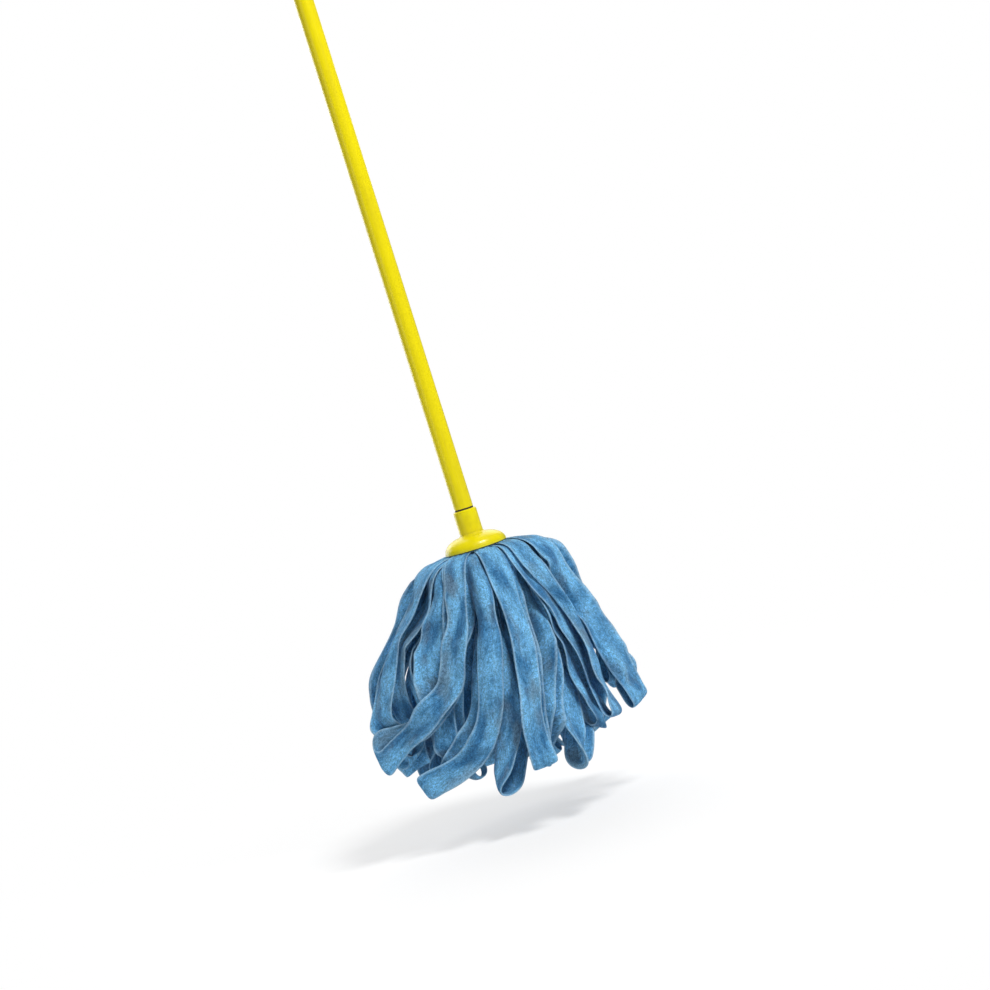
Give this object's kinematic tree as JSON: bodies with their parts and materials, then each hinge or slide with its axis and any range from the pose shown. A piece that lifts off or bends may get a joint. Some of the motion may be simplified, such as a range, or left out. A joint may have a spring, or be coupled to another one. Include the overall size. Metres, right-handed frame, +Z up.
{
  "type": "string mop",
  "caption": "String mop: ring of looped microfibre strips clamped under a domed socket that screws onto a long tubular handle with a hanging eye.",
  "frame": {"origin": "on the handle's axis at the lower end of the jacketed tube, where it seats on the ring in the socket's mouth", "axes": "+Z up the handle towards the hanging eye, which runs along Y; +X towards the side where the strips reach less far; -Y is the front"},
  "size_m": [0.3358, 0.243, 1.5737],
  "materials": {
    "yellow_jacket": "smooth glossy extruded sleeve",
    "yellow_moulding": "semi-gloss injection moulding",
    "black_plastic": "satin moulding",
    "natural_plastic": "satin moulding",
    "steel": "drawn, bare",
    "seal_rubber": "matt",
    "microfibre": "brushed, heathered blue",
    "tape": "woven, undyed"
  },
  "bodies": {
    "handle": {"handle_jacket": "yellow_jacket", "handle_tube": "steel", "threaded_tip": "black_plastic", "hanging_cap": "yellow_moulding"},
    "seat_ring": {"seat_ring": "seal_rubber"},
    "head": {"socket": "yellow_moulding", "clamp_plate": "natural_plastic", "clamp_screw": "steel", "clamp_washer": "steel", "root_pack": "microfibre", "binding_tape": "tape"},
    "strip_01": {"strip_01": "microfibre"},
    "strip_02": {"strip_02": "microfibre"},
    "strip_03": {"strip_03": "microfibre"},
    "strip_04": {"strip_04": "microfibre"},
    "strip_05": {"strip_05": "microfibre"},
    "strip_06": {"strip_06": "microfibre"},
    "strip_07": {"strip_07": "microfibre"},
    "strip_08": {"strip_08": "microfibre"},
    "strip_09": {"strip_09": "microfibre"},
    "strip_10": {"strip_10": "microfibre"},
    "strip_11": {"strip_11": "microfibre"},
    "strip_12": {"strip_12": "microfibre"},
    "strip_13": {"strip_13": "microfibre"},
    "strip_14": {"strip_14": "microfibre"},
    "strip_15": {"strip_15": "microfibre"},
    "strip_16": {"strip_16": "microfibre"},
    "strip_17": {"strip_17": "microfibre"},
    "strip_18": {"strip_18": "microfibre"},
    "strip_19": {"strip_19": "microfibre"},
    "strip_20": {"strip_20": "microfibre"},
    "strip_21": {"strip_21": "microfibre"},
    "strip_22": {"strip_22": "microfibre"},
    "strip_23": {"strip_23": "microfibre"},
    "strip_24": {"strip_24": "microfibre"}
  },
  "joints": [
    {"name": "seat_ring_slide", "type": "slide", "parent": "handle", "child": "seat_ring", "axis": [0, 0, -1], "range_m": [0, 0.02]},
    {"name": "head_spin", "type": "hinge", "parent": "seat_ring", "child": "head", "pos_m": [0, 0, 0], "axis": [0, 0, -1], "range_deg": [0, 1440]},
    {"name": "strip_01_spread", "type": "hinge", "parent": "head", "child": "strip_01", "pos_m": [0, -0.038, -0.0503], "axis": [-1, 0, 0], "range_deg": [-2.4, 30]},
    {"name": "strip_02_spread", "type": "hinge", "parent": "head", "child": "strip_02", "pos_m": [0.00984, -0.03671, -0.0503], "axis": [-0.9659, -0.2588, 0], "range_deg": [-4, 50]},
    {"name": "strip_03_spread", "type": "hinge", "parent": "head", "child": "strip_03", "pos_m": [0.019, -0.03291, -0.0503], "axis": [-0.866, -0.5, 0], "range_deg": [-3.2, 40]},
    {"name": "strip_04_spread", "type": "hinge", "parent": "head", "child": "strip_04", "pos_m": [0.02687, -0.02687, -0.0503], "axis": [-0.7071, -0.7071, 0], "range_deg": [-2.4, 30]},
    {"name": "strip_05_spread", "type": "hinge", "parent": "head", "child": "strip_05", "pos_m": [0.03291, -0.019, -0.0503], "axis": [-0.5, -0.866, 0], "range_deg": [-4, 50]},
    {"name": "strip_06_spread", "type": "hinge", "parent": "head", "child": "strip_06", "pos_m": [0.03671, -0.00984, -0.0503], "axis": [-0.2588, -0.9659, 0], "range_deg": [-3.2, 40]},
    {"name": "strip_07_spread", "type": "hinge", "parent": "head", "child": "strip_07", "pos_m": [0.038, 0, -0.0503], "axis": [0, -1, 0], "range_deg": [-2.4, 30]},
    {"name": "strip_08_spread", "type": "hinge", "parent": "head", "child": "strip_08", "pos_m": [0.03671, 0.00984, -0.0503], "axis": [0.2588, -0.9659, 0], "range_deg": [-4, 50]},
    {"name": "strip_09_spread", "type": "hinge", "parent": "head", "child": "strip_09", "pos_m": [0.03291, 0.019, -0.0503], "axis": [0.5, -0.866, 0], "range_deg": [-3.2, 40]},
    {"name": "strip_10_spread", "type": "hinge", "parent": "head", "child": "strip_10", "pos_m": [0.02687, 0.02687, -0.0503], "axis": [0.7071, -0.7071, 0], "range_deg": [-2.4, 30]},
    {"name": "strip_11_spread", "type": "hinge", "parent": "head", "child": "strip_11", "pos_m": [0.019, 0.03291, -0.0503], "axis": [0.866, -0.5, 0], "range_deg": [-4, 50]},
    {"name": "strip_12_spread", "type": "hinge", "parent": "head", "child": "strip_12", "pos_m": [0.00984, 0.03671, -0.0503], "axis": [0.9659, -0.2588, 0], "range_deg": [-3.2, 40]},
    {"name": "strip_13_spread", "type": "hinge", "parent": "head", "child": "strip_13", "pos_m": [0, 0.038, -0.0503], "axis": [1, 0, 0], "range_deg": [-2.4, 30]},
    {"name": "strip_14_spread", "type": "hinge", "parent": "head", "child": "strip_14", "pos_m": [-0.00984, 0.03671, -0.0503], "axis": [0.9659, 0.2588, 0], "range_deg": [-4, 50]},
    {"name": "strip_15_spread", "type": "hinge", "parent": "head", "child": "strip_15", "pos_m": [-0.019, 0.03291, -0.0503], "axis": [0.866, 0.5, 0], "range_deg": [-3.2, 40]},
    {"name": "strip_16_spread", "type": "hinge", "parent": "head", "child": "strip_16", "pos_m": [-0.02687, 0.02687, -0.0503], "axis": [0.7071, 0.7071, 0], "range_deg": [-2.4, 30]},
    {"name": "strip_17_spread", "type": "hinge", "parent": "head", "child": "strip_17", "pos_m": [-0.03291, 0.019, -0.0503], "axis": [0.5, 0.866, 0], "range_deg": [-4, 50]},
    {"name": "strip_18_spread", "type": "hinge", "parent": "head", "child": "strip_18", "pos_m": [-0.03671, 0.00984, -0.0503], "axis": [0.2588, 0.9659, 0], "range_deg": [-3.2, 40]},
    {"name": "strip_19_spread", "type": "hinge", "parent": "head", "child": "strip_19", "pos_m": [-0.038, 0, -0.0503], "axis": [0, 1, 0], "range_deg": [-2.4, 30]},
    {"name": "strip_20_spread", "type": "hinge", "parent": "head", "child": "strip_20", "pos_m": [-0.03671, -0.00984, -0.0503], "axis": [-0.2588, 0.9659, 0], "range_deg": [-4, 50]},
    {"name": "strip_21_spread", "type": "hinge", "parent": "head", "child": "strip_21", "pos_m": [-0.03291, -0.019, -0.0503], "axis": [-0.5, 0.866, 0], "range_deg": [-3.2, 40]},
    {"name": "strip_22_spread", "type": "hinge", "parent": "head", "child": "strip_22", "pos_m": [-0.02687, -0.02687, -0.0503], "axis": [-0.7071, 0.7071, 0], "range_deg": [-2.4, 30]},
    {"name": "strip_23_spread", "type": "hinge", "parent": "head", "child": "strip_23", "pos_m": [-0.019, -0.03291, -0.0503], "axis": [-0.866, 0.5, 0], "range_deg": [-4, 50]},
    {"name": "strip_24_spread", "type": "hinge", "parent": "head", "child": "strip_24", "pos_m": [-0.00984, -0.03671, -0.0503], "axis": [-0.9659, 0.2588, 0], "range_deg": [-3.2, 40]}
  ],
  "couplings": [
    {"joint": "seat_ring_slide", "follows": "head_spin", "m_per_rad": 0.00079577},
    {"joint": "strip_01_spread", "follows": "strip_02_spread", "ratio": 0.6},
    {"joint": "strip_03_spread", "follows": "strip_02_spread", "ratio": 0.8},
    {"joint": "strip_04_spread", "follows": "strip_02_spread", "ratio": 0.6},
    {"joint": "strip_05_spread", "follows": "strip_02_spread", "ratio": 1},
    {"joint": "strip_06_spread", "follows": "strip_02_spread", "ratio": 0.8},
    {"joint": "strip_07_spread", "follows": "strip_02_spread", "ratio": 0.6},
    {"joint": "strip_08_spread", "follows": "strip_02_spread", "ratio": 1},
    {"joint": "strip_09_spread", "follows": "strip_02_spread", "ratio": 0.8},
    {"joint": "strip_10_spread", "follows": "strip_02_spread", "ratio": 0.6},
    {"joint": "strip_11_spread", "follows": "strip_02_spread", "ratio": 1},
    {"joint": "strip_12_spread", "follows": "strip_02_spread", "ratio": 0.8},
    {"joint": "strip_13_spread", "follows": "strip_02_spread", "ratio": 0.6},
    {"joint": "strip_14_spread", "follows": "strip_02_spread", "ratio": 1},
    {"joint": "strip_15_spread", "follows": "strip_02_spread", "ratio": 0.8},
    {"joint": "strip_16_spread", "follows": "strip_02_spread", "ratio": 0.6},
    {"joint": "strip_17_spread", "follows": "strip_02_spread", "ratio": 1},
    {"joint": "strip_18_spread", "follows": "strip_02_spread", "ratio": 0.8},
    {"joint": "strip_19_spread", "follows": "strip_02_spread", "ratio": 0.6},
    {"joint": "strip_20_spread", "follows": "strip_02_spread", "ratio": 1},
    {"joint": "strip_21_spread", "follows": "strip_02_spread", "ratio": 0.8},
    {"joint": "strip_22_spread", "follows": "strip_02_spread", "ratio": 0.6},
    {"joint": "strip_23_spread", "follows": "strip_02_spread", "ratio": 1},
    {"joint": "strip_24_spread", "follows": "strip_02_spread", "ratio": 0.8}
  ]
}
